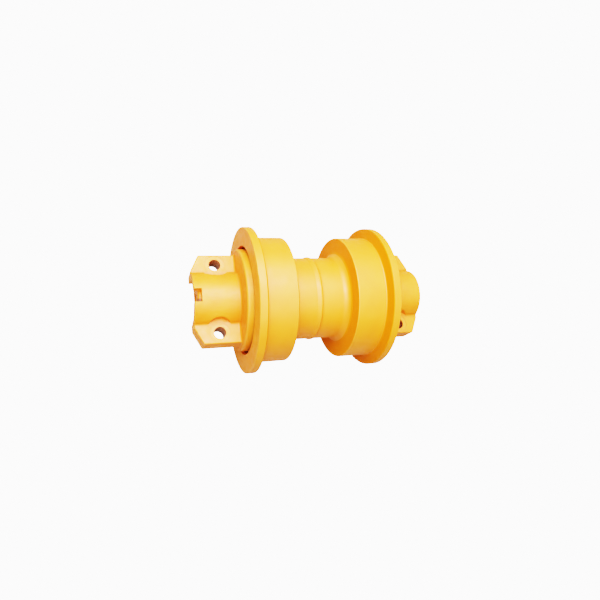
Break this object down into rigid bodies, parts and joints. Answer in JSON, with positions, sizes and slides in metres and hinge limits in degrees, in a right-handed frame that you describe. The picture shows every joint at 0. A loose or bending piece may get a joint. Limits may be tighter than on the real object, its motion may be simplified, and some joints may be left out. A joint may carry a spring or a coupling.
{
  "type": "single flange track roller",
  "caption": "Yellow single-flange bottom roller for a crawler track: welded shell with twin treads and outer flanges, turning on a fixed shaft held by bolt-on end collars.",
  "frame": {"origin": "Middle of the shaft's axis, midway between the two flanges, which is also the middle of the whole part's box.", "axes": "+Y runs along the shaft, towards the collar that has no key slot, and is the axis that the shell spins about. +Z is square to the collars' mounting faces and points away from them, towards the bolt heads. +X is Y cross Z. In the machine the part is turned over: -Z is up, against the underside of the track frame, and the track's rails pass below the treads on the +Z side."},
  "size_m": [0.24, 0.394, 0.24],
  "materials": {
    "shell_paint": "satin yellow paint over forged and turned steel",
    "collar_paint": "satin yellow paint over a forged surface with machined faces",
    "shaft_steel": "ground bearing surface, exposed ends painted yellow with the rest",
    "plug_steel": "plug painted over with the shaft's end",
    "pin_steel": "hardened and ground",
    "bush_bronze": "machined bearing bronze",
    "seal_iron": "cast, with a lapped sealing face",
    "rubber": "matt black nitrile rubber",
    "copper": "soft annealed copper"
  },
  "bodies": {
    "axle_and_collars": {"shaft": "shaft_steel", "collar_left": "collar_paint", "collar_right": "collar_paint", "lock_pin_left": "pin_steel", "lock_pin_right": "pin_steel", "shaft_o_ring_left": "rubber", "shaft_o_ring_right": "rubber", "fixed_seal_ring_left": "seal_iron", "fixed_seal_ring_right": "seal_iron", "fixed_rubber_ring_left": "rubber", "fixed_rubber_ring_right": "rubber", "oil_plug": "plug_steel", "plug_washer": "copper"},
    "roller_shell": {"shell_left": "shell_paint", "shell_right": "shell_paint", "centre_weld": "shell_paint", "bush_left": "bush_bronze", "bush_right": "bush_bronze", "bush_dowel_left_a": "pin_steel", "bush_dowel_left_b": "pin_steel", "bush_dowel_right_a": "pin_steel", "bush_dowel_right_b": "pin_steel", "turning_seal_ring_left": "seal_iron", "turning_seal_ring_right": "seal_iron", "turning_rubber_ring_left": "rubber", "turning_rubber_ring_right": "rubber"}
  },
  "joints": [
    {"name": "roller_spin", "type": "hinge", "parent": "axle_and_collars", "child": "roller_shell", "pos_m": [0, 0, 0], "axis": [0, 1, 0], "continuous": true}
  ]
}
